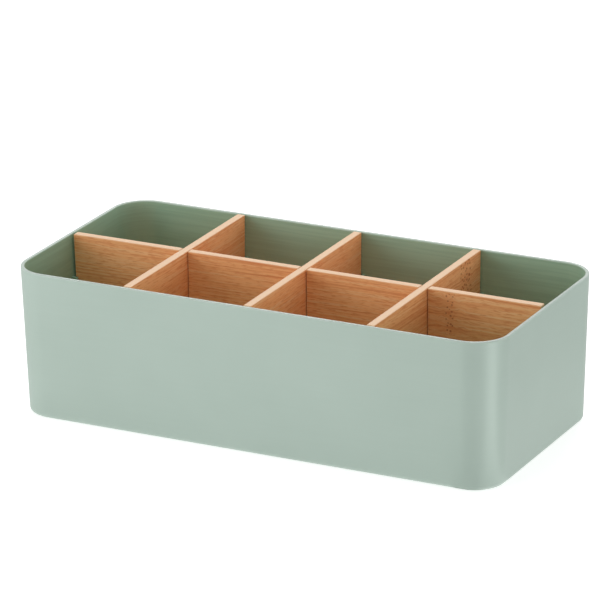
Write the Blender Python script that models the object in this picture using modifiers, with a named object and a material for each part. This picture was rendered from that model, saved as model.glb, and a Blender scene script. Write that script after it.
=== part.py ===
"""Compartment organizer: a moulded plastic tub, parted by four bamboo slats that halve together.

Metres, +Z up. The origin is on the ground under the middle of the tub. X runs along the tub and
Y across it, with the front at -Y. Every divider lifts straight up out of the tub.
"""

import math

import bmesh
import bpy

# Tub, measured over the outside of its rim
TUB_LENGTH = 0.320
TUB_WIDTH = 0.154
TUB_HEIGHT = 0.093
CORNER_RADIUS = 0.022
CORNER_STEPS = 14
# How far a wall leans in between the rim and the ground, so that the tub leaves its mould
WALL_DRAFT = 0.0029
WALL = 0.0024
FLOOR = 0.0024
FOOT_RADIUS = 0.003
FLOOR_FILLET = 0.0012
RIM_ROUND = 0.0009
ROUND_STEPS = 5

# Bamboo slats
SLAT_THICKNESS = 0.005
SLAT_EDGE_ROUND = 0.0004
SLAT_EDGE_STEPS = 2
CROSS_DIVIDERS = ("left_cross_divider", "middle_cross_divider", "right_cross_divider")

# Fits: gaps on each side of a slat
SEAT_GAP = 0.0003
CROSS_END_CLEARANCE = 0.0005
LONG_END_CLEARANCE = 0.0014
NOTCH_CLEARANCE = 0.0004
LAP_GAP = 0.0005
GUIDE_CLEARANCE = 0.0004

# Guide ribs, moulded in pairs on the walls where a slat ends
RIB_TOP = 0.066
RIB_WIDTH = 0.0016
RIB_REACH = 0.0035
RIB_ROUND = 0.0005

# Colours are linear RGB
SAGE_PLASTIC = (0.400, 0.500, 0.425)
SAGE_ROUGHNESS = 0.42
BAMBOO = (0.620, 0.385, 0.190)
BAMBOO_ROUGHNESS = 0.55

WELD_DISTANCE = 0.00001
FLAT_ANGLE = math.radians(1)
SHARP_ANGLE = math.radians(35)
UPRIGHT = math.radians(90)

INNER_LENGTH = TUB_LENGTH - 2 * WALL
CROSS_PITCH = (INNER_LENGTH + SLAT_THICKNESS) / (len(CROSS_DIVIDERS) + 1)
SLAT_BOTTOM = FLOOR + SEAT_GAP
SLAT_TOP = TUB_HEIGHT
LAP_LEVEL = (SLAT_BOTTOM + SLAT_TOP) / 2


def clear_scene():
    for old in list(bpy.data.objects):
        bpy.data.objects.remove(old, do_unlink=True)


def new_collection(name):
    collection = bpy.data.collections.new(name)
    bpy.context.scene.collection.children.link(collection)
    return collection


def new_material(name, colour, roughness):
    material = bpy.data.materials.new(name)
    material.use_nodes = True
    shader = material.node_tree.nodes["Principled BSDF"]
    shader.inputs["Base Color"].default_value = (*colour, 1)
    shader.inputs["Roughness"].default_value = roughness
    shader.inputs["Metallic"].default_value = 0
    return material


def cross_places():
    """X of each cross divider: equal steps about the middle of the tub."""
    middle = (len(CROSS_DIVIDERS) - 1) / 2
    return [(index - middle) * CROSS_PITCH for index in range(len(CROSS_DIVIDERS))]


def lean(height):
    """How far the wall has leaned in from the rim at this height."""
    return WALL_DRAFT * (1 - height / TUB_HEIGHT)


def quarter(steps):
    """Angles of a quarter circle, both ends included."""
    return [math.radians(90) * step / steps for step in range(steps + 1)]


def rounded_outline(inset):
    """The rim's rounded rectangle moved inwards by inset, counter-clockwise from the +X side."""
    radius = CORNER_RADIUS - inset
    centre_x = TUB_LENGTH / 2 - CORNER_RADIUS
    centre_y = TUB_WIDTH / 2 - CORNER_RADIUS
    points = []
    for turn, (side_x, side_y) in enumerate([(1, 1), (-1, 1), (-1, -1), (1, -1)]):
        for angle in quarter(CORNER_STEPS):
            heading = angle + turn * math.radians(90)
            x = side_x * centre_x + radius * math.cos(heading)
            y = side_y * centre_y + radius * math.sin(heading)
            points.append((x, y))
    return points


def tub_section():
    """(inset, height) up the outside of the wall, over the rim and down the inside to the floor."""
    foot_inset = WALL_DRAFT + FOOT_RADIUS
    rim_height = TUB_HEIGHT - RIM_ROUND
    inner_rim_inset = WALL - RIM_ROUND
    fillet_inset = WALL + lean(FLOOR) + FLOOR_FILLET
    section = []
    for angle in quarter(ROUND_STEPS):
        side = foot_inset - FOOT_RADIUS * math.sin(angle)
        section.append((side, FOOT_RADIUS * (1 - math.cos(angle))))
    for angle in quarter(ROUND_STEPS):
        side = RIM_ROUND * (1 - math.cos(angle))
        section.append((side, rim_height + RIM_ROUND * math.sin(angle)))
    for angle in quarter(ROUND_STEPS):
        side = inner_rim_inset + RIM_ROUND * math.sin(angle)
        section.append((side, rim_height + RIM_ROUND * math.cos(angle)))
    for angle in quarter(ROUND_STEPS):
        side = fillet_inset - FLOOR_FILLET * math.cos(angle)
        section.append((side, FLOOR + FLOOR_FILLET * (1 - math.sin(angle))))
    return section


def loft_shell(name, section):
    """One closed shell: a ring of the outline at each point of the section, capped at both ends."""
    mesh = bpy.data.meshes.new(name)
    bm = bmesh.new()
    rings = []
    for inset, height in section:
        rings.append([bm.verts.new((x, y, height)) for x, y in rounded_outline(inset)])
    count = len(rings[0])
    for lower, upper in zip(rings, rings[1:]):
        for i in range(count):
            j = (i + 1) % count
            bm.faces.new((lower[i], lower[j], upper[j], upper[i]))
    bm.faces.new(reversed(rings[0]))
    bm.faces.new(rings[-1])
    bm.to_mesh(mesh)
    bm.free()
    return mesh


def make_rib(name, wall_at, along, turn, collection):
    """A guide rib that leans with its wall, its back sunk half way into the wall.

    wall_at is the distance from the middle of the tub to the rim on that side, and along is the
    rib's place along the wall. turn swings a rib made on the +X wall round to its own wall.
    """
    sunk = WALL / 2
    bottom = FLOOR / 2
    bm = bmesh.new()
    bmesh.ops.create_cube(bm, size=1)
    for vert in bm.verts:
        height = RIB_TOP if vert.co.z > 0 else bottom
        inner_face = wall_at - WALL - lean(height)
        x = inner_face + sunk if vert.co.x > 0 else inner_face - RIB_REACH
        vert.co = (x, along + vert.co.y * RIB_WIDTH, height)
    mesh = bpy.data.meshes.new(name)
    bm.to_mesh(mesh)
    bm.free()
    rib = bpy.data.objects.new(name, mesh)
    rib.rotation_euler.z = turn
    rib.hide_render = True
    rib.display_type = "WIRE"
    collection.objects.link(rib)
    rounding = rib.modifiers.new("rounded_edges", "BEVEL")
    rounding.width = RIB_ROUND
    rounding.segments = 2
    return rib


def make_guide_ribs(collection):
    """A pair of ribs at each end of every slat, one on each face of the slat."""
    beside = SLAT_THICKNESS / 2 + GUIDE_CLEARANCE + RIB_WIDTH / 2
    half_length = TUB_LENGTH / 2
    half_width = TUB_WIDTH / 2
    for side in (-1, 1):
        make_rib("right_rib", half_length, side * beside, 0, collection)
        make_rib("left_rib", half_length, side * beside, 2 * UPRIGHT, collection)
        for place in cross_places():
            make_rib("back_rib", half_width, side * beside - place, UPRIGHT, collection)
            make_rib("front_rib", half_width, side * beside + place, -UPRIGHT, collection)


def make_tub(collection, ribs, material):
    tub = bpy.data.objects.new("tub", loft_shell("tub", tub_section()))
    tub.data.materials.append(material)
    tub.data.shade_smooth()
    tub.data.set_sharp_from_angle(angle=SHARP_ANGLE)
    collection.objects.link(tub)
    moulded = tub.modifiers.new("moulded_ribs", "BOOLEAN")
    moulded.operation = "UNION"
    moulded.operand_type = "COLLECTION"
    moulded.collection = ribs
    moulded.solver = "EXACT"
    return tub


def slat_ends(rim_reach, end_clearance):
    """Right-hand end of a slat, bottom to top: it leans with the wall and clears the floor fillet.

    rim_reach is the distance from the middle of the tub to the rim along the slat.
    """
    reach = rim_reach - WALL - end_clearance
    relief_top = SLAT_BOTTOM + FLOOR_FILLET
    return [
        (reach - lean(SLAT_BOTTOM) - FLOOR_FILLET, SLAT_BOTTOM),
        (reach - lean(relief_top), relief_top),
        (reach - lean(SLAT_TOP), SLAT_TOP),
    ]


def notch(place, mouth_level, end_level):
    """Four corners of a notch at this place along a slat, walked towards +X along the edge."""
    half = SLAT_THICKNESS / 2 + NOTCH_CLEARANCE
    return [
        (place - half, mouth_level),
        (place - half, end_level),
        (place + half, end_level),
        (place + half, mouth_level),
    ]


def long_outline():
    """Side view of the long divider, counter-clockwise, notched from above at each cross divider."""
    right = slat_ends(TUB_LENGTH / 2, LONG_END_CLEARANCE)
    left = [(-x, z) for x, z in reversed(right)]
    top = []
    for place in reversed(cross_places()):
        top += reversed(notch(place, SLAT_TOP, LAP_LEVEL - LAP_GAP / 2))
    return right + top + left


def cross_outline():
    """Side view of a cross divider, counter-clockwise, notched from below at the long divider."""
    right = slat_ends(TUB_WIDTH / 2, CROSS_END_CLEARANCE)
    left = [(-x, z) for x, z in reversed(right)]
    bottom = notch(0, SLAT_BOTTOM, LAP_LEVEL + LAP_GAP / 2)
    return bottom + right + left


def make_slat(name, outline, place, turn, collection, material):
    """A flat outline given the slat's thickness and stood upright, with its edges eased."""
    curve = bpy.data.curves.new(name, "CURVE")
    curve.dimensions = "2D"
    curve.fill_mode = "BOTH"
    curve.extrude = SLAT_THICKNESS / 2
    spline = curve.splines.new("POLY")
    spline.points.add(len(outline) - 1)
    for point, (along, height) in zip(spline.points, outline):
        point.co = (along, height, 0, 1)
    spline.use_cyclic_u = True
    curve.materials.append(material)
    slat = bpy.data.objects.new(name, curve)
    slat.location = (place, 0, 0)
    slat.rotation_euler = (UPRIGHT, 0, turn)
    collection.objects.link(slat)
    weld = slat.modifiers.new("join_caps", "WELD")
    weld.merge_threshold = WELD_DISTANCE
    flat = slat.modifiers.new("flat_faces", "DECIMATE")
    flat.decimate_type = "DISSOLVE"
    flat.angle_limit = FLAT_ANGLE
    easing = slat.modifiers.new("eased_edges", "BEVEL")
    easing.width = SLAT_EDGE_ROUND
    easing.segments = SLAT_EDGE_STEPS
    easing.limit_method = "ANGLE"
    easing.angle_limit = SHARP_ANGLE
    return slat


def main():
    clear_scene()
    organizer = new_collection("compartment_organizer")
    ribs = new_collection("guide_ribs")
    sage = new_material("sage_plastic", SAGE_PLASTIC, SAGE_ROUGHNESS)
    bamboo = new_material("bamboo", BAMBOO, BAMBOO_ROUGHNESS)
    make_guide_ribs(ribs)
    make_tub(organizer, ribs, sage)
    make_slat("long_divider", long_outline(), 0, 0, organizer, bamboo)
    for name, place in zip(CROSS_DIVIDERS, cross_places()):
        make_slat(name, cross_outline(), place, UPRIGHT, organizer, bamboo)


main()
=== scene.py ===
"""Looks of the compartment organizer: a satin sage tub parted by four bamboo slats.

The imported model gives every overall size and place. Lengths are metres, angles are degrees and
colours are linear RGB, unless a name or a comment says otherwise.
"""

import math

import bpy
import numpy as np
from mathutils import Matrix, Vector


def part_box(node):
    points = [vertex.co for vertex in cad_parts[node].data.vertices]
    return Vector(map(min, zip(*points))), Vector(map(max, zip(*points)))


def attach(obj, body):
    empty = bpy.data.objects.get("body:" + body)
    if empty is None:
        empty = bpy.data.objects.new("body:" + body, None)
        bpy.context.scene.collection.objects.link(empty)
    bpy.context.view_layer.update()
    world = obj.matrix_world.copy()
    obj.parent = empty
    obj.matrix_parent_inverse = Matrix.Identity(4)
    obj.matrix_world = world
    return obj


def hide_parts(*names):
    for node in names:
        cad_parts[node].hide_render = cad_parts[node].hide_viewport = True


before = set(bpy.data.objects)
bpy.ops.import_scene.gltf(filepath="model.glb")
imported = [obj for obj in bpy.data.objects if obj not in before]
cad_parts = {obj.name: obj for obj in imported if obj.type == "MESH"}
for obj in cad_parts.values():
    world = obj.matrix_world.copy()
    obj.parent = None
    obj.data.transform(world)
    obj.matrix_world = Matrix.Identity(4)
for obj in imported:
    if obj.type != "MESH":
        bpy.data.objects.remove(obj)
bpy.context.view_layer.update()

TUB_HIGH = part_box("tub")[1]
LONG_LOW, LONG_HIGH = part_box("long_divider")
CROSS_NAMES = ("left_cross_divider", "middle_cross_divider", "right_cross_divider")
CROSS_BOXES = {name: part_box(name) for name in CROSS_NAMES}
CROSS_PLACES = [(low.x + high.x) / 2 for low, high in CROSS_BOXES.values()]
SLAT_THICKNESS = LONG_HIGH.y - LONG_LOW.y

# Tub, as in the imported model
CORNER_RADIUS = 0.022
WALL_DRAFT = 0.0029
WALL = 0.0024
FLOOR = 0.0024
FOOT_RADIUS = 0.003
FLOOR_FILLET = 0.0012
RIM_ROUND = 0.0009
RIB_TOP = 0.066
RIB_WIDTH = 0.0016
RIB_REACH = 0.0035
RIB_ROUND = 0.0005
GUIDE_CLEARANCE = 0.0004

# Slats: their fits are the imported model's, and their edges are eased a little further
NOTCH_CLEARANCE = 0.0004
LAP_GAP = 0.0005
EASED_EDGE = 0.00045
CORNER_EASE = 0.0007
NOTCH_EASE = 0.0005

# A row of faces this far from a rounded edge keeps the flat beside it flat
FLAT_MARGIN = 0.0005
CORNER_STEPS = 24
RUN_STEPS = 24
ROUND_STEPS = 8
EASE_STEPS = 4
WALL_ROWS = 12
# A rib's upright corners are rounder than its top edge, so that the top can be drawn in
RIB_CORNER = RIB_ROUND + RIB_WIDTH / 20
RIB_TOP_MARGIN = FLAT_MARGIN / 10
RIB_RUN_STEPS = 4
# Handling rubs the foot this much, where it rubs the top of the rim fully; on the rim this wear
# value also paints a pale highlight
FOOT_WEAR = 0.25

# The knuckle in the top strip of each slat: its place along the slat, the spacing of the columns of
# its pits, and how far they scatter
KNUCKLES = {
    "long_divider": (0.0975, 0.0030, 0.0033),
    "left_cross_divider": (-0.190, 0.0044, 0.0044),
    "middle_cross_divider": (0.215, 0.0044, 0.0044),
    "right_cross_divider": (0.0525, 0.0040, 0.0088),
}
# How much paler than the rest each slat's bamboo is
TONES = {
    "long_divider": 0.0,
    "left_cross_divider": 0.025,
    "middle_cross_divider": 0.035,
    "right_cross_divider": -0.008,
}
# The seeds of the slats' grain lie this far apart
GRAIN_SEED_STEP = 7.3

# Camera, fitted to the photograph's edges
PHOTO_PIXELS = 605
FOCAL_PIXELS = 4727
CAMERA_AZIMUTH = 26.817
CAMERA_ELEVATION = 19.616
CAMERA_ROLL = -0.705
CAMERA_DISTANCE = 2.833
CAMERA_TARGET = (-0.0008, -0.0006, 0.0711)
CAMERA_SIGHT = 20
SENSOR_MM = 36


def new_object(name, data):
    """An object that holds this data, put in the scene."""
    made = bpy.data.objects.new(name, data)
    bpy.context.scene.collection.objects.link(made)
    return made


# Shapes


def quarter_turn(steps):
    """Angles from 0 to 90 degrees in radians, both ends included."""
    return np.radians(90) * np.arange(steps + 1) / steps


def lean(height):
    """How far in from the rim a wall is at this height: the draft, falling evenly to zero."""
    return WALL_DRAFT * (1 - height / TUB_HIGH.z)


def rounded_path(half_x, half_y, radius, corner_steps, run_steps):
    """Path round a rectangle with round corners, counter-clockwise, as (core, heading) arrays.

    A point at inset i is core + (radius - i) * heading: the core walks the rectangle of corner
    centres, and the heading is the outward normal, which turns only while the core stands still.
    Along a run the steps are half a cosine wave, close together at both its ends.
    """
    centres = np.array([(1, 1), (-1, 1), (-1, -1), (1, -1)]) * (half_x - radius, half_y - radius)
    run = (1 - np.cos(np.pi * np.arange(1, run_steps) / run_steps)) / 2
    cores, headings = [], []
    for turn, centre in enumerate(centres):
        angles = quarter_turn(corner_steps) + turn * np.radians(90)
        ahead = centres[(turn + 1) % len(centres)]
        last = np.array((math.cos(angles[-1]), math.sin(angles[-1])))
        cores += [np.repeat(centre[None], len(angles), 0), centre + run[:, None] * (ahead - centre)]
        headings += [np.stack((np.cos(angles), np.sin(angles)), 1)]
        headings += [np.repeat(last[None], len(run), 0)]
    return np.concatenate(cores), np.concatenate(headings)


def rim_path():
    """The rounded path of the tub's rim."""
    return rounded_path(TUB_HIGH.x, TUB_HIGH.y, CORNER_RADIUS, CORNER_STEPS, RUN_STEPS)


def sweep(core, heading, radius, inset, height):
    """Grid of points: each row is the path at one (inset, height) of the profile."""
    flat = core[None] + (radius - inset)[:, None, None] * heading[None]
    rise = np.repeat(height[:, None, None], len(core), 1)
    return np.concatenate((flat, rise), 2)


def grid_faces(rows, columns, start=0):
    """Quads of a grid whose rows close on themselves, then one flat face over each end row."""
    index = start + np.arange(rows * columns).reshape(rows, columns)
    ahead = np.roll(index, -1, 1)
    quads = np.stack((index[:-1], ahead[:-1], ahead[1:], index[1:]), -1).reshape(-1, 4)
    return quads.tolist() + [index[0][::-1].tolist(), index[-1].tolist()]


def new_piece(name, points, faces, masks):
    """A mesh object with smooth shading and a named value, or vector, at each of its points."""
    mesh = bpy.data.meshes.new(name)
    mesh.from_pydata(points.tolist(), [], faces)
    for mask, values in masks.items():
        kind, field = ("FLOAT_VECTOR", "vector") if values.ndim == 2 else ("FLOAT", "value")
        held = mesh.attributes.new(mask, kind, "POINT")
        held.data.foreach_set(field, values.astype(np.float32).ravel())
    mesh.shade_smooth()
    mesh.update()
    return new_object(name, mesh)


def tub_profile():
    """(inset, height, wear, inside) from under the tub, up, over the rim and down to the floor.

    The foot, the two edges of the rim and the fillet at the floor are quarter circles, and the
    walls between them are straight lines with the draft's slope. Wear is 1 on top of the rim and
    fades down both its sides, the foot has a little of it, and inside grows to 1 over the inner
    edge. On the rim the wear also paints a pale highlight, and inside also marks where the colour
    takes painted shade.
    """
    turn = quarter_turn(ROUND_STEPS)
    sine, cosine = np.sin(turn), np.cos(turn)
    margin = FLAT_MARGIN / TUB_HIGH.z
    share = margin + np.linspace(0, 1, WALL_ROWS) * (1 - 2 * margin)
    foot_inset = WALL_DRAFT + FOOT_RADIUS
    rim_base = TUB_HIGH.z - RIM_ROUND
    inner_foot = WALL + lean(FLOOR)
    inner_base = FLOOR + FLOOR_FILLET
    stretches = [
        # Under the tub and round the foot
        (foot_inset + FLAT_MARGIN, 0, 0, 0),
        (
            foot_inset - FOOT_RADIUS * sine,
            FOOT_RADIUS * (1 - cosine),
            FOOT_WEAR * np.sin(2 * turn),
            0,
        ),
        # Up the outside and over the two edges of the rim
        (WALL_DRAFT * (1 - share), FOOT_RADIUS + share * (rim_base - FOOT_RADIUS), 0, 0),
        (RIM_ROUND * (1 - cosine), rim_base + RIM_ROUND * sine, sine, 0),
        (
            WALL - RIM_ROUND * (1 - sine),
            rim_base + RIM_ROUND * cosine,
            np.sqrt(np.abs(cosine)),
            sine,
        ),
        # Down the inside, round the fillet and onto the floor
        (WALL + share * (inner_foot - WALL), rim_base - share * (rim_base - inner_base), 0, 1),
        (inner_foot + FLOOR_FILLET * (1 - cosine), inner_base - FLOOR_FILLET * sine, 0, 1),
        (inner_foot + FLOOR_FILLET + FLAT_MARGIN, FLOOR, 0, 1),
    ]
    rows = [
        np.stack(np.broadcast_arrays(np.atleast_1d(inset), *others), 1)
        for inset, *others in stretches
    ]
    return np.concatenate(rows).T


def rib_points(wall_at, along, heading):
    """One guide rib: a rounded bar that leans with its wall, its back sunk into the wall.

    heading is the unit vector out of the tub through that wall, wall_at is how far out the rim is,
    and along is the rib's place to the left of the heading. The bar's outline is carried up, and
    drawn in by a quarter circle at its top.
    """
    sunk = WALL / 2
    turn = quarter_turn(ROUND_STEPS)
    core, normal = rounded_path(
        (RIB_REACH + sunk) / 2, RIB_WIDTH / 2, RIB_CORNER, ROUND_STEPS, RIB_RUN_STEPS
    )
    shaft_top = RIB_TOP - RIB_ROUND
    shaft = [FLOOR / 2, shaft_top - FLAT_MARGIN]
    inset = np.concatenate(([0, 0], RIB_ROUND * (1 - np.cos(turn)), [RIB_ROUND + RIB_TOP_MARGIN]))
    height = np.concatenate((shaft, shaft_top + RIB_ROUND * np.sin(turn), [RIB_TOP]))
    grid = sweep(core, normal, RIB_CORNER, inset, height)
    centre = wall_at - WALL - lean(height) + (sunk - RIB_REACH) / 2
    out = grid[..., 0] + centre[:, None]
    left = grid[..., 1] + along
    x = out * heading[0] - left * heading[1]
    y = out * heading[1] + left * heading[0]
    return np.stack((x, y, grid[..., 2]), -1)


def tub_ribs():
    """Every guide rib: a pair at each end of each slat, one beside each of its faces."""
    beside = SLAT_THICKNESS / 2 + GUIDE_CLEARANCE + RIB_WIDTH / 2
    ribs = []
    for side in (-beside, beside):
        for way in (-1, 1):
            ribs.append(rib_points(TUB_HIGH.x, side, (way, 0)))
            for place in CROSS_PLACES:
                ribs.append(rib_points(TUB_HIGH.y, side - way * place, (0, way)))
    return ribs


def make_tub():
    """The shell is its profile swept round the rim's outline, and the ribs join it in one mesh."""
    inset, height, wear_and_highlight, inside = tub_profile()
    core, heading = rim_path()
    grids = [sweep(core, heading, CORNER_RADIUS, inset, height)] + tub_ribs()
    points, faces = [], []
    for grid in grids:
        faces += grid_faces(*grid.shape[:2], start=sum(len(done) for done in points))
        points.append(grid.reshape(-1, 3))
    on_ribs = sum(len(rib) for rib in points[1:])
    masks = {
        "wear_and_highlight": np.append(np.repeat(wear_and_highlight, len(core)), np.zeros(on_ribs)),
        "inside": np.append(np.repeat(inside, len(core)), np.ones(on_ribs)),
    }
    return new_piece("tub_shell", np.concatenate(points), faces, masks)


def round_corners(points, radii, steps):
    """The closed outline with each corner replaced by an arc that is tangent to both its sides.

    A point is added beside each arc on every straight that has room, to keep the straight flat.
    """
    points = np.asarray(points, float)
    into = points - np.roll(points, 1, 0)
    out = np.roll(points, -1, 0) - points
    into /= np.linalg.norm(into, axis=1, keepdims=True)
    out /= np.linalg.norm(out, axis=1, keepdims=True)
    rounded = []
    for corner, radius, before, after in zip(points, radii, into, out):
        bend = math.atan2(before[0] * after[1] - before[1] * after[0], before @ after)
        reach = radius * math.tan(abs(bend) / 2)
        start = corner - before * reach
        side = np.array((-before[1], before[0])) * math.copysign(radius, bend)
        angles = bend * np.arange(steps + 1) / steps
        sine, cosine = np.sin(angles), np.cos(angles)
        arc = (-side[0] * cosine + side[1] * sine, -side[0] * sine - side[1] * cosine)
        rounded.append((start - before * FLAT_MARGIN)[None])
        rounded.append(start + side + np.stack(arc, 1))
        rounded.append((corner + after * (reach + FLAT_MARGIN))[None])
    return np.concatenate(rounded)


def drawn_in(outline, inset):
    """The outline moved inwards by inset, each point along the bisector of its two sides."""
    side = np.roll(outline, -1, 0) - outline
    side /= np.linalg.norm(side, axis=1, keepdims=True)
    normal = np.stack((-side[:, 1], side[:, 0]), 1)
    before = np.roll(normal, 1, 0)
    bisector = (normal + before) / (1 + (normal * before).sum(1, keepdims=True))
    return outline + inset * bisector


def slat_side(reach, low, high):
    """Right end of a slat, bottom to top: it leans with the wall and clears the floor's fillet."""
    relief = low + FLOOR_FILLET
    return [
        (reach - lean(low) - FLOOR_FILLET, low),
        (reach - lean(relief), relief),
        (reach, high),
    ]


def slat_notch(place, mouth, end):
    """Four corners of a notch at this place along a slat, from its mouth round its end and back."""
    half = SLAT_THICKNESS / 2 + NOTCH_CLEARANCE
    left, right = place - half, place + half
    return [(left, mouth), (left, end), (right, end), (right, mouth)]


def slat_outline(reach, low, high, top_notches=(), bottom_notches=()):
    """Side view of a slat, counter-clockwise, with its corners and the notches' corners eased."""
    middle = (low + high) / 2
    right = slat_side(reach, low, high)
    left = [(-along, height) for along, height in reversed(right)]
    bottom, top = [], []
    for place in bottom_notches:
        bottom += slat_notch(place, low, middle + LAP_GAP / 2)
    for place in reversed(top_notches):
        top += reversed(slat_notch(place, high, middle - LAP_GAP / 2))
    eases = [NOTCH_EASE] * len(bottom) + [CORNER_EASE] * len(right)
    eases += [NOTCH_EASE] * len(top) + [CORNER_EASE] * len(left)
    return round_corners(bottom + right + top + left, eases, EASE_STEPS)


def slat_profile():
    """(inset, depth, wear, edge) through a slat's thickness, from one face to the other.

    Both edges are quarter circles, with a row beside each on the narrow side between them. Wear is
    greatest half way round an edge, and edge is 1 on the narrow side and 0 on the faces. The wear
    also paints a pale highlight along the eased edges.
    """
    turn = quarter_turn(EASE_STEPS)
    half = SLAT_THICKNESS / 2
    flat = half - EASED_EDGE
    front = np.array(
        [
            np.append(EASED_EDGE * (1 - np.sin(turn)), 0),
            np.append(half - EASED_EDGE * (1 - np.cos(turn)), flat - FLAT_MARGIN / 2),
            np.append(np.sin(2 * turn), 0),
            np.append(np.sin(turn), 1),
        ]
    )
    back = front[:, ::-1] * np.array([[1], [-1], [1], [1]])
    return np.concatenate((front, back), 1)


def make_slat(name, outline, place, across):
    """A slat from its side view: the outline swept through the thickness, drawn in at its edges.

    place is the slat's middle in plan, and across is True for a slat that runs front to back. The
    grain attribute holds how far along, how far below the top and how deep in the slat a point is.
    """
    inset, depth, wear_and_highlight, edge = slat_profile()
    rows = np.stack([drawn_in(outline, step) for step in inset])
    along, height = rows[..., 0], rows[..., 1]
    columns = rows.shape[1]
    through = np.repeat(depth[:, None], columns, 1)
    plan = (place - through, along) if across else (place + along, through)
    points = np.stack((*plan, height), -1)
    grain = np.stack((along, LONG_HIGH.z - height, through), -1)
    count = along.size
    masks = {
        "grain": grain.reshape(-1, 3),
        "edge": np.repeat(edge, columns),
        "wear_and_highlight": np.repeat(wear_and_highlight, columns),
        "tree": np.full(count, GRAIN_SEED_STEP * list(KNUCKLES).index(name)),
        "tone": np.full(count, TONES[name]),
        "knuckle": np.tile(KNUCKLES[name], (count, 1)),
    }
    faces = grid_faces(*points.shape[:2])
    slat = new_piece(name + "_slat", points.reshape(-1, 3), faces, masks)
    for face in slat.data.polygons[-2:]:
        face.use_smooth = False
    return slat


def make_slats():
    """The four slats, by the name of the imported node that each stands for."""
    long_view = slat_outline(LONG_HIGH.x, LONG_LOW.z, LONG_HIGH.z, top_notches=CROSS_PLACES)
    slats = {"long_divider": make_slat("long_divider", long_view, 0, False)}
    for (name, (low, high)), place in zip(CROSS_BOXES.items(), CROSS_PLACES):
        cross_view = slat_outline(high.y, low.z, high.z, bottom_notches=[0])
        slats[name] = make_slat(name, cross_view, place, True)
    return slats


# What materials are made from


def add(tree, kind, sockets=None, **settings):
    """A node of that kind. A socket takes a value or a link, and settings are its properties."""
    made = tree.nodes.new("ShaderNode" + kind)
    for name, value in settings.items():
        setattr(made, name, value)
    for name, value in (sockets or {}).items():
        if isinstance(value, bpy.types.NodeSocket):
            tree.links.new(value, made.inputs[name])
        else:
            made.inputs[name].default_value = value
    return made


def calc(tree, operation, first, second=0.0, third=0.0):
    """A sum done at each point. MULTIPLY_ADD is the first times the second, plus the third."""
    return add(tree, "Math", {0: first, 1: second, 2: third}, operation=operation).outputs[0]


def centred(tree, value):
    """A value from 0 to 1, moved so that its middle is zero."""
    return calc(tree, "SUBTRACT", value, 0.5)


def limited(tree, value, low, high, new_low=0.0, new_high=1.0):
    """The value's stretch from low to high, spread over new_low to new_high and held beyond it."""
    levels = {"From Min": low, "From Max": high, "To Min": new_low, "To Max": new_high}
    return add(tree, "MapRange", {"Value": value, **levels}, clamp=True).outputs[0]


def bell(tree, value, width):
    """1 where the value is zero, falling smoothly a few widths away: e to the -(v/w)^2."""
    ratio = calc(tree, "DIVIDE", value, width)
    square = calc(tree, "MULTIPLY", ratio, ratio)
    return calc(tree, "POWER", math.e, calc(tree, "MULTIPLY", square, -1.0))


def blend(tree, share, first, second, how="MIX"):
    """Two colours mixed: share of the second."""
    sockets = {0: share, 6: first, 7: second}
    return add(tree, "Mix", sockets, data_type="RGBA", blend_type=how).outputs[2]


def noise(tree, place, scale, detail, roughness, seed):
    """Smooth noise from 0 to 1: its repeats in a metre, its finer octaves and their strength."""
    sockets = {"Vector": place, "W": seed, "Scale": scale, "Detail": detail, "Roughness": roughness}
    return add(tree, "TexNoise", sockets, noise_dimensions="4D").outputs["Fac"]


def spread(tree, place, scales):
    """The place with each axis scaled on its own, so that a round pattern becomes drawn out."""
    return add(tree, "VectorMath", {0: place, 1: scales}, operation="MULTIPLY").outputs[0]


def joined(tree, *parts):
    """A vector made of these parts, in order."""
    return add(tree, "CombineXYZ", dict(enumerate(parts))).outputs[0]


def parted(tree, vector):
    """The three parts of a vector."""
    return add(tree, "SeparateXYZ", {0: vector}).outputs


def attribute(tree, name, output="Fac"):
    """What the mesh holds under this name at each point."""
    return add(tree, "Attribute", attribute_name=name).outputs[output]


def own_node(tree, kind):
    """The node of this type that the tree was made with."""
    return next(node for node in tree.nodes if node.type == kind)


def new_finish(name):
    """A material with nothing but its shader and output, as (material, node tree, shader)."""
    material = bpy.data.materials.new(name)
    material.use_nodes = True
    return material, material.node_tree, own_node(material.node_tree, "BSDF_PRINCIPLED")


def new_group(name, inputs, outputs):
    """An empty node group with these sockets, as (group, its input sockets, its output sockets)."""
    group = bpy.data.node_groups.new(name, "ShaderNodeTree")
    for way, sockets in (("INPUT", inputs), ("OUTPUT", outputs)):
        for socket, kind in sockets.items():
            group.interface.new_socket(socket, in_out=way, socket_type="NodeSocket" + kind)
    given, result = group.nodes.new("NodeGroupInput"), group.nodes.new("NodeGroupOutput")
    return group, given.outputs, result.inputs


def place_group(tree, group, sockets):
    """A node group placed in a material with its own values, as its output sockets."""
    return add(tree, "Group", sockets, node_tree=group).outputs


# Rubbed edges, which also carry a painted highlight: wide patches with small flecks in them, the
# weight of each in their sum, and the levels of the sum at which an edge is still whole and is
# fully rubbed
WEAR_PATCHES = {"detail": 3, "roughness": 0.6}
WEAR_FLECKS = {"scale": 900, "detail": 2, "roughness": 0.6}
PATCH_WEIGHT = 0.75
FLECK_WEIGHT = 0.35
WEAR_LEVELS = (0.38, 0.68)

# Streaks drawn out along the first axis: repeats in a metre along, across and deep, and octaves
STREAKS = {
    "Bands": ((2, 140, 140), 2),
    "Lines": ((13, 850, 850), 3),
    "Threads": ((140, 1500, 1500), 2),
}
STREAK_ROUGHNESS = 0.6


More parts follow.
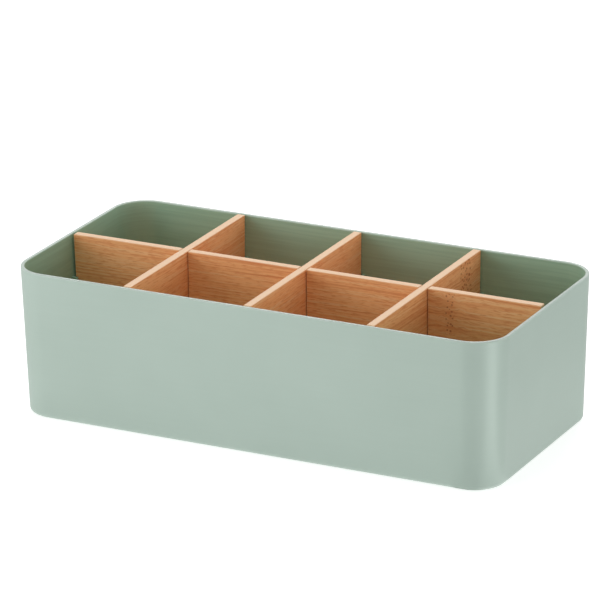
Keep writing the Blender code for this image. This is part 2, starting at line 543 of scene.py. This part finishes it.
def edge_wear_highlight_group():
    """Where handling has rubbed an edge, which also marks a painted highlight: the piece's own wear
    value, broken up by two noises.
    """
    inputs = {"Place": "Vector", "Wear And Highlight": "Float", "Patch Scale": "Float", "Seed": "Float"}
    group, given, result = new_group("edge_wear_highlight", inputs, {"Mask": "Float"})
    place, seed = given["Place"], given["Seed"]
    patches = noise(group, place, given["Patch Scale"], seed=seed, **WEAR_PATCHES)
    flecks = noise(group, place, seed=seed, **WEAR_FLECKS)
    patches = calc(group, "MULTIPLY", patches, PATCH_WEIGHT)
    broken = calc(group, "MULTIPLY_ADD", flecks, FLECK_WEIGHT, patches)
    rubbed_and_highlight = calc(group, "MULTIPLY", limited(group, broken, *WEAR_LEVELS), given["Wear And Highlight"])
    group.links.new(rubbed_and_highlight, result["Mask"])
    return group


def streaks_group():
    """Noise drawn out along the first axis at three widths: broad bands, lines and fine threads."""
    inputs = {"Place": "Vector", "Seed": "Float"}
    group, given, result = new_group("drawn_out_streaks", inputs, dict.fromkeys(STREAKS, "Float"))
    for socket, (scales, detail) in STREAKS.items():
        place = spread(group, given["Place"], scales)
        drawn = noise(group, place, 1, detail, STREAK_ROUGHNESS, given["Seed"])
        group.links.new(drawn, result[socket])
    return group


# Both plastic and lacquer bend light like this
GLOSS_IOR = 1.5

# Sage plastic outside, its pale cloudy tone, and the pale rubbed colour of the rim, which is also a
# painted highlight along it
SAGE = (0.346, 0.434, 0.380, 1)
SAGE_PALE = (0.380, 0.470, 0.415, 1)
SAGE_RUBBED_HIGHLIGHT = (0.62, 0.70, 0.64, 1)
# Painted shade: inside the tub the colour is multiplied by this darker, warmer tint, which stands
# in for the shade inside it
SAGE_INSIDE_PAINTED_SHADE = (0.81, 1.03, 0.84, 1)
# Cloudy tone, the fine skin that the mould leaves, and the slow waviness of the walls
SAGE_CLOUD = {"scale": 14, "detail": 2, "roughness": 0.5, "seed": 3}
SAGE_SKIN = {"scale": 2600, "detail": 2, "roughness": 0.6, "seed": 1}
SAGE_WAVES = {"scale": 22, "detail": 1, "roughness": 0.4, "seed": 8}
SKIN_RELIEF = {"Distance": 0.00002, "Strength": 0.5}
WAVE_RELIEF = {"Distance": 0.0004, "Strength": 0.35}
# Flow lines: their height is stretched by one over this, and they are far stronger inside
FLOW_RISE = 0.6
FLOW_OUTSIDE = 0.3
FLOW_ADDED_INSIDE = 4.7
FLOW_SEED = 5
# Levels of the shade from sage to pale, and the levels from the first roughness to the second
SAGE_LEVELS = (0.2, 0.8)
SAGE_ROUGHNESS = (0.3, 0.7, 0.29, 0.35)
SKIN_ROUGHNESS = 0.08
RIM_ROUGHNESS = -0.2
# Share of the rubbed colour in the patches of wear, and all along the rim, where it is also a
# painted highlight
RUBBED_HIGHLIGHT_PATCHES = 0.4
RIM_PAINTED_HIGHLIGHT = 0.25
RIM_PATCH_SCALE = 60
RIM_WEAR_SEED = 2


def sage_plastic(edge_wear_highlight, streaks):
    """Satin moulded plastic: a fine skin, faint flow lines along the walls, a rubbed rim that also
    paints a highlight, and painted shade inside.
    """
    material, tree, shader = new_finish("satin_sage_plastic")
    place = add(tree, "TexCoord").outputs["Object"]
    inside = attribute(tree, "inside")
    rim_wear_and_highlight = attribute(tree, "wear_and_highlight")
    across, deep, up = parted(tree, place)
    round_walls = calc(tree, "ADD", across, deep)
    on_walls = joined(tree, round_walls, calc(tree, "MULTIPLY", up, FLOW_RISE))
    flow = place_group(tree, streaks, {"Place": on_walls, "Seed": FLOW_SEED})
    worn = {"Place": place, "Wear And Highlight": rim_wear_and_highlight, "Patch Scale": RIM_PATCH_SCALE, "Seed": RIM_WEAR_SEED}
    wear_and_highlight = place_group(tree, edge_wear_highlight, worn)["Mask"]
    skin = noise(tree, place, **SAGE_SKIN)

    lines = centred(tree, flow["Lines"])
    strength = calc(tree, "MULTIPLY_ADD", inside, FLOW_ADDED_INSIDE, FLOW_OUTSIDE)
    shade = calc(tree, "MULTIPLY_ADD", lines, strength, noise(tree, place, **SAGE_CLOUD))
    colour = blend(tree, limited(tree, shade, *SAGE_LEVELS), SAGE, SAGE_PALE)
    # Painted shade: inside the tub the colour is darkened and warmed
    colour = blend(tree, inside, colour, SAGE_INSIDE_PAINTED_SHADE, "MULTIPLY")
    # The rubbed colour on the rim is partly wear, partly a painted highlight
    rubbed_and_highlight = calc(tree, "MULTIPLY", rim_wear_and_highlight, RIM_PAINTED_HIGHLIGHT)
    rubbed_and_highlight = calc(tree, "MULTIPLY_ADD", wear_and_highlight, RUBBED_HIGHLIGHT_PATCHES, rubbed_and_highlight)
    tree.links.new(blend(tree, rubbed_and_highlight, colour, SAGE_RUBBED_HIGHLIGHT), shader.inputs["Base Color"])

    rough = limited(tree, shade, *SAGE_ROUGHNESS)
    rough = calc(tree, "MULTIPLY_ADD", skin, SKIN_ROUGHNESS, rough)
    rough = calc(tree, "MULTIPLY_ADD", rim_wear_and_highlight, RIM_ROUGHNESS, rough)
    tree.links.new(rough, shader.inputs["Roughness"])
    fine = add(tree, "Bump", {"Height": skin, **SKIN_RELIEF}).outputs[0]
    waves = {"Height": noise(tree, place, **SAGE_WAVES), "Normal": fine, **WAVE_RELIEF}
    tree.links.new(add(tree, "Bump", waves).outputs[0], shader.inputs["Normal"])
    shader.inputs["IOR"].default_value = GLOSS_IOR
    return material


# Bamboo from its dark lines to its pale ground, its eased edges, and the pits in a knuckle
BAMBOO_DARK = (0.77, 0.258, 0.086, 1)
BAMBOO_MID = (0.97, 0.458, 0.186, 1)
BAMBOO_PALE = (0.99, 0.572, 0.280, 1)
BAMBOO_EDGE = (0.80, 0.540, 0.330, 1)
BAMBOO_EDGE_LINE = (0.77, 0.510, 0.305, 1)
BAMBOO_PIT = (0.45, 0.110, 0.034, 1)

# The board is pressed from strips this high. Each starts in another run of the grain, at most this
# far along, and the knuckles of the lower ones are shifted by up to half of this either way.
STRIP_HEIGHT = 0.027
STRIP_RUN = 3
KNUCKLE_SHIFT = 0.30
# Glue lines between strips: their width, and their share of the dark colour
GLUE_WIDTH = 0.00022
GLUE_SHARE = 0.5
# Grain lines sway everywhere and swing at a knuckle: repeats in a metre and octaves, then how far
SWAY_SCALES, SWAY_DETAIL, SWAY = (9, 30, 30), 2, 0.004
SWING_SCALES, SWING_DETAIL, SWING = (170, 240, 120), 1, 0.007
WAVINESS_ROUGHNESS = 0.5
# A knuckle swings the lines, and darkens the bamboo by this share, this far along
SWING_REACH = 0.011
KNUCKLE_REACH = 0.006
KNUCKLE_SHARE = 0.22
# The tone is a sum of lines, broad bands and each strip's own tone. It goes from dark to middling
# over the first levels, and from there to pale over the next.
LINES_WEIGHT = 0.65
BANDS_WEIGHT = 0.35
STRIP_WEIGHT = 0.05
DARK_LEVELS = (0.38, 0.48)
PALE_LEVELS = (0.50, 0.62)
# Threads are dark where their noise is low
THREAD_LEVELS = (0.38, 0.48, 1, 0)
THREAD_SHARE = 0.75

# One pit lies in each cell of a net over the knuckle, whose rows are this far apart
PIT_ROW = 0.0026
# Rows start elsewhere on each slat: its seed times this
PIT_ROW_SHIFT = 10
# The wider a knuckle's pits scatter, the fewer of them are missing
PIT_RARITY = 0.0005
# How far a cell's pit may stray from the cell's corner, as a share of the cell
PIT_STRAY = 0.95
# From a pit's middle to its rim, as shares of a cell, and its share of the pits' colour
PIT_LEVELS = (0.20, 0.32, 1, 0)
PIT_SHARE = 0.75
# Pits fade out over the last one part in this many of their scatter
PIT_FADE = 4

# Edges: the levels of their threads from line to ground, their share, and how they are rubbed,
# which also paints a pale highlight along them
EDGE_LEVELS = (0.3, 0.6)
EDGE_SHARE = 0.94
EDGE_PATCH_SCALE = 120
EDGE_WEAR_HIGHLIGHT_SHARE = 0.3
# Levels of the lines from the first roughness to the second, and what pits add
BAMBOO_ROUGHNESS = (0.3, 0.7, 0.50, 0.42)
PIT_ROUGHNESS = 0.2
# How deep threads, glue lines and pits lie, where the lines' own relief is 1
THREAD_DEPTH = -0.5
GLUE_DEPTH = -0.8
PIT_DEPTH = -1
GRAIN_RELIEF = {"Distance": 0.00006, "Strength": 0.6}


def wavy_grain(tree, grain, seed, luck, near):
    """The place in the grain that a point shows: its own, shifted by strip and bent by two noises.

    luck is the strip's own random value, and near is 1 at its knuckle.
    """
    bends = []
    for scales, detail in ((SWAY_SCALES, SWAY_DETAIL), (SWING_SCALES, SWING_DETAIL)):
        drawn = noise(tree, spread(tree, grain, scales), 1, detail, WAVINESS_ROUGHNESS, seed)
        bends.append(centred(tree, drawn))
    sway, swing = bends
    swing = calc(tree, "MULTIPLY", swing, near)
    bend = calc(tree, "MULTIPLY_ADD", swing, SWING, calc(tree, "MULTIPLY", sway, SWAY))
    shift = joined(tree, calc(tree, "MULTIPLY", luck, STRIP_RUN), bend, luck)
    return add(tree, "VectorMath", {0: grain, 1: shift}, operation="ADD").outputs[0]


def knuckle_pits(tree, from_knuckle, below, seed, pitch, scatter):
    """1 in the pits of a knuckle: one dot in each cell of a net, where chance leaves some out.

    A cell is pitch long and PIT_ROW high, and the pits end scatter away from the knuckle's middle.
    """
    # The middle of the knuckle lies half way between two columns of pits
    middle = 0.5 + PIT_STRAY / 2
    column = calc(tree, "ADD", calc(tree, "DIVIDE", from_knuckle, pitch), middle)
    shifted = calc(tree, "MULTIPLY", seed, PIT_ROW_SHIFT)
    row = calc(tree, "MULTIPLY_ADD", below, 1 / PIT_ROW, shifted)
    net = {"Vector": joined(tree, column, row), "Scale": 1.0, "Randomness": PIT_STRAY}
    dots = add(tree, "TexVoronoi", net, voronoi_dimensions="2D").outputs
    chance = add(tree, "SeparateColor", {0: dots["Color"]}).outputs[0]
    rare = calc(tree, "DIVIDE", PIT_RARITY, scatter)
    size = calc(tree, "MULTIPLY_ADD", chance, rare, dots["Distance"])
    here = limited(tree, calc(tree, "ABSOLUTE", from_knuckle), scatter, 0.0)
    here = calc(tree, "MINIMUM", calc(tree, "MULTIPLY", here, PIT_FADE), 1.0)
    return calc(tree, "MULTIPLY", limited(tree, size, *PIT_LEVELS), here)


def bamboo(edge_wear_highlight, streaks):
    """Lacquered bamboo board, pressed from flat strips, its grain lines drawn along each slat.

    The strips are counted down from the slat's top. Each has its own tone, its own run of the grain
    and its own knuckle, where the lines swing and columns of small dark pits cross the strip.
    """
    material, tree, shader = new_finish("lacquered_bamboo")
    grain = attribute(tree, "grain", "Vector")
    seed = attribute(tree, "tree")
    edge = attribute(tree, "edge")
    along, below, _ = parted(tree, grain)
    knuckle, pitch, scatter = parted(tree, attribute(tree, "knuckle", "Vector"))

    strip = calc(tree, "FLOOR", calc(tree, "DIVIDE", below, STRIP_HEIGHT))
    lower = calc(tree, "MINIMUM", strip, 1.0)
    tag = {"Vector": joined(tree, strip, seed)}
    luck = add(tree, "TexWhiteNoise", tag, noise_dimensions="3D").outputs["Value"]
    moved = calc(tree, "MULTIPLY_ADD", luck, KNUCKLE_SHIFT, -KNUCKLE_SHIFT / 2)
    moved = calc(tree, "MULTIPLY", moved, lower)
    from_knuckle = calc(tree, "SUBTRACT", calc(tree, "SUBTRACT", along, knuckle), moved)

    drawn = wavy_grain(tree, grain, seed, luck, bell(tree, from_knuckle, SWING_REACH))
    fibre = place_group(tree, streaks, {"Place": drawn, "Seed": seed})
    threads = limited(tree, fibre["Threads"], *THREAD_LEVELS)
    from_glue = calc(tree, "SUBTRACT", below, calc(tree, "MULTIPLY", STRIP_HEIGHT, strip))
    glue = bell(tree, from_glue, GLUE_WIDTH)
    pits = knuckle_pits(tree, from_knuckle, below, seed, pitch, scatter)
    pits = calc(tree, "MULTIPLY", pits, calc(tree, "SUBTRACT", 1.0, edge))

    bands = calc(tree, "MULTIPLY", fibre["Bands"], BANDS_WEIGHT)
    tone = calc(tree, "MULTIPLY_ADD", fibre["Lines"], LINES_WEIGHT, bands)
    tone = calc(tree, "MULTIPLY_ADD", centred(tree, luck), STRIP_WEIGHT, tone)
    tone = calc(tree, "ADD", tone, attribute(tree, "tone"))
    colour = blend(tree, limited(tree, tone, *DARK_LEVELS), BAMBOO_DARK, BAMBOO_MID)
    colour = blend(tree, limited(tree, tone, *PALE_LEVELS), colour, BAMBOO_PALE)
    colour = blend(tree, calc(tree, "MULTIPLY", threads, THREAD_SHARE), colour, BAMBOO_DARK)
    between = calc(tree, "MULTIPLY", glue, lower)
    colour = blend(tree, calc(tree, "MULTIPLY", between, GLUE_SHARE), colour, BAMBOO_DARK)
    darkened = calc(tree, "MULTIPLY", bell(tree, from_knuckle, KNUCKLE_REACH), KNUCKLE_SHARE)
    colour = blend(tree, darkened, colour, BAMBOO_DARK)
    colour = blend(tree, calc(tree, "MULTIPLY", pits, PIT_SHARE), colour, BAMBOO_PIT)

    level = limited(tree, fibre["Threads"], *EDGE_LEVELS)
    edges = blend(tree, level, BAMBOO_EDGE_LINE, BAMBOO_EDGE)
    colour = blend(tree, calc(tree, "MULTIPLY", edge, EDGE_SHARE), colour, edges)
    # Rubbed edges turn pale: partly wear, partly a painted highlight
    worn = {"Wear And Highlight": attribute(tree, "wear_and_highlight"), "Patch Scale": EDGE_PATCH_SCALE}
    wear_and_highlight = place_group(tree, edge_wear_highlight, {"Place": grain, "Seed": seed, **worn})["Mask"]
    colour = blend(tree, calc(tree, "MULTIPLY", wear_and_highlight, EDGE_WEAR_HIGHLIGHT_SHARE), colour, BAMBOO_EDGE)
    tree.links.new(colour, shader.inputs["Base Color"])

    rough = limited(tree, fibre["Lines"], *BAMBOO_ROUGHNESS)
    rough = calc(tree, "MULTIPLY_ADD", pits, PIT_ROUGHNESS, rough)
    tree.links.new(rough, shader.inputs["Roughness"])
    relief = fibre["Lines"]
    for mask, depth in ((threads, THREAD_DEPTH), (glue, GLUE_DEPTH), (pits, PIT_DEPTH)):
        relief = calc(tree, "MULTIPLY_ADD", mask, depth, relief)
    carved = add(tree, "Bump", {"Height": relief, **GRAIN_RELIEF}).outputs[0]
    tree.links.new(carved, shader.inputs["Normal"])
    shader.inputs["IOR"].default_value = GLOSS_IOR
    return material


# The studio

WHITE = (1, 1, 1, 1)
SKY_STRENGTH = 0.52
FLOOR_WHITE = (0.80, 0.80, 0.80, 1)
FLOOR_ROUGHNESS = 0.9
# The floor is a lit table: it glows on everything
FLOOR_GLOW = 0.56
# It reaches this far out from the rim, starts this far in under the tub, and lies this far below it
FLOOR_REACH = 4
FLOOR_MARGIN = 0.005
FLOOR_DROP = 0.0002

# Painted reflection: brightness that the table shows only in mirrors, by azimuth round the near
# right corner, to paint a highlight strip on the tub's corner: dark on the camera's side, with a
# bright strip to the right
PAINTED_TABLE_REFLECTION = {
    -180: 0.35,
    -95: 0.47,
    -60: 0.67,
    -25: 0.74,
    -15: 0.0,
    24: 0.0,
    38: 0.6,
    54: 1.4,
    66: 7.6,
    84: 7.6,
    95: 1.2,
    116: 0.52,
    170: 0.52,
}
BRIGHTEST_IMAGE = 8
# Close to the tub the painted reflection is no brighter than this, as painted shade, and the limit
# is gone this far out
NEAR_IMAGE = 1.7
NEAR_REACH = 0.26
# Away from the tub's right side the image fades over this reach, from the first share to the second
SIDE_SHARES = (1.5, 0.5)
SIDE_REACH = 0.10

# Softboxes round the middle of the tub, in front at azimuth 0 and to the right at 90:
# (azimuth, elevation, distance, width, height, radiance of the face)
SOFTBOXES = {
    "front_softbox": (-42, 18, 1.6, 1.0, 0.8, 1.65),
    "low_front_softbox": (-30, 9, 1.6, 1.0, 0.5, 2.4),
    "right_softbox": (100, 8, 1.5, 1.0, 0.4, 3.2),
    "back_softbox": (205, 50, 1.5, 1.0, 1.0, 3.1),
}


def direction(azimuth, elevation):
    """Unit vector from the tub to where this azimuth and elevation point."""
    azimuth, elevation = math.radians(azimuth), math.radians(elevation)
    level = math.cos(elevation)
    return Vector((math.sin(azimuth) * level, -math.cos(azimuth) * level, math.sin(elevation)))


def make_world():
    """A white room: its light is the sky's strength, and where it shows itself it is pure white.

    It shows to the rays that come straight from the camera, or are mirrored or refracted.
    """
    world = bpy.data.worlds.new("white_room")
    bpy.context.scene.world = world
    world.use_nodes = True
    tree = world.node_tree
    sky = own_node(tree, "BACKGROUND")
    sky.inputs["Color"].default_value = WHITE
    path = add(tree, "LightPath").outputs
    seen = calc(tree, "ADD", path["Is Camera Ray"], path["Is Glossy Ray"])
    seen = calc(tree, "MINIMUM", calc(tree, "ADD", seen, path["Is Transmission Ray"]), 1.0)
    lift = calc(tree, "MULTIPLY", seen, 1 - SKY_STRENGTH)
    tree.links.new(calc(tree, "ADD", lift, SKY_STRENGTH), sky.inputs["Strength"])


def painted_table_reflection(tree):
    """Painted reflection: brightness of the floor seen only in mirrors, its angle round the
    corner's centre, run through a ramp.

    Near the corner it is held down, as painted shade, to a limit that grows with the distance from
    the tub.
    """
    corner = (CORNER_RADIUS - TUB_HIGH.x, TUB_HIGH.y - CORNER_RADIUS, 0)
    whole = add(tree, "TexCoord").outputs["Object"]
    place = add(tree, "VectorMath", {0: whole, 1: corner}).outputs[0]
    right, back, _ = parted(tree, place)
    angle = calc(tree, "ARCTAN2", right, calc(tree, "MULTIPLY", back, -1.0))
    ramp = add(tree, "ValToRGB", {0: limited(tree, angle, -math.pi, math.pi)})
    stops = ramp.color_ramp.elements
    for degrees, level in PAINTED_TABLE_REFLECTION.items():
        share = level / BRIGHTEST_IMAGE
        stop = stops.new((degrees + 180) / 360) if degrees > -180 else stops[0]
        stop.color = (share, share, share, 1)
    stops[-1].color = stops[0].color
    side = limited(tree, right, CORNER_RADIUS, CORNER_RADIUS + SIDE_REACH, *SIDE_SHARES)
    image = calc(tree, "MULTIPLY", ramp.outputs[0], BRIGHTEST_IMAGE)
    image = calc(tree, "MULTIPLY", image, side)
    away = add(tree, "VectorMath", {0: place}, operation="LENGTH").outputs["Value"]
    far = CORNER_RADIUS + NEAR_REACH
    limit = limited(tree, away, CORNER_RADIUS, far, NEAR_IMAGE, BRIGHTEST_IMAGE)
    return calc(tree, "MINIMUM", image, limit)


def make_floor():
    """A glowing white table round the tub, clear and open below it so that its foot can be seen.

    It is the tub's outline swept flat, from a margin under the tub out to the table's edge.
    """
    core, heading = rim_path()
    inset = np.array((-FLOOR_REACH, WALL_DRAFT + FOOT_RADIUS + FLOOR_MARGIN))
    ring = sweep(core, heading, CORNER_RADIUS, inset, np.full(2, -FLOOR_DROP))
    floor = new_piece("floor", ring.reshape(-1, 3), grid_faces(*ring.shape[:2])[:-2], {})
    material, tree, shader = new_finish("pale_floor")
    shader.inputs["Base Color"].default_value = FLOOR_WHITE
    shader.inputs["Roughness"].default_value = FLOOR_ROUGHNESS
    shader.inputs["Emission Color"].default_value = WHITE
    shader.inputs["Emission Strength"].default_value = FLOOR_GLOW
    # Mirrored rays see the painted reflection instead of the lit table
    image = add(tree, "Emission", {"Strength": painted_table_reflection(tree)}).outputs[0]
    mirrored = add(tree, "LightPath").outputs["Is Glossy Ray"]
    seen = add(tree, "MixShader", {0: mirrored, 1: shader.outputs[0], 2: image}).outputs[0]
    clear = add(tree, "BsdfTransparent").outputs[0]
    from_below = add(tree, "NewGeometry").outputs["Backfacing"]
    seen = add(tree, "MixShader", {0: from_below, 1: seen, 2: clear}).outputs[0]
    tree.links.new(seen, own_node(tree, "OUTPUT_MATERIAL").inputs["Surface"])
    floor.data.materials.append(material)


def make_softbox(name, azimuth, elevation, distance, width, height, radiance):
    """A rectangular softbox that faces the tub; its power gives its face this radiance."""
    lamp = bpy.data.lights.new(name, "AREA")
    lamp.shape = "RECTANGLE"
    lamp.size, lamp.size_y = width, height
    lamp.energy = math.pi * width * height * radiance
    holder = new_object(name, lamp)
    back = direction(azimuth, elevation)
    holder.location = Vector((0, 0, TUB_HIGH.z / 2)) + back * distance
    holder.rotation_euler = back.to_track_quat("Z", "Y").to_euler()


def make_camera():
    """The photograph's camera: it looks at its target from its distance, turned by its roll."""
    azimuth, roll = math.radians(CAMERA_AZIMUTH), math.radians(CAMERA_ROLL)
    back = direction(CAMERA_AZIMUTH, CAMERA_ELEVATION)
    side = Vector((math.cos(azimuth), math.sin(azimuth), 0))
    up = back.cross(side)
    turned_side = side * math.cos(roll) + up * math.sin(roll)
    turned_up = up * math.cos(roll) - side * math.sin(roll)
    lens = bpy.data.cameras.new("camera")
    lens.sensor_fit = "HORIZONTAL"
    lens.sensor_width = SENSOR_MM
    lens.lens = FOCAL_PIXELS * SENSOR_MM / PHOTO_PIXELS
    lens.clip_end = CAMERA_SIGHT
    camera = new_object("camera", lens)
    stand = Matrix((turned_side, turned_up, back)).transposed().to_4x4()
    stand.translation = Vector(CAMERA_TARGET) + back * CAMERA_DISTANCE
    camera.matrix_world = stand
    bpy.context.scene.camera = camera


def main():
    """The tub and the slats, each in its finish and on its body, and then the studio."""
    edge_wear_highlight = edge_wear_highlight_group()
    streaks = streaks_group()
    sage = sage_plastic(edge_wear_highlight, streaks)
    board = bamboo(edge_wear_highlight, streaks)
    tub = make_tub()
    tub.data.materials.append(sage)
    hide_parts("tub")
    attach(tub, "tub")
    for name, slat in make_slats().items():
        slat.data.materials.append(board)
        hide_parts(name)
        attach(slat, name)
    make_world()
    make_floor()
    for name, setting in SOFTBOXES.items():
        make_softbox(name, *setting)
    make_camera()
    bpy.context.scene.view_settings.view_transform = "Standard"


main()
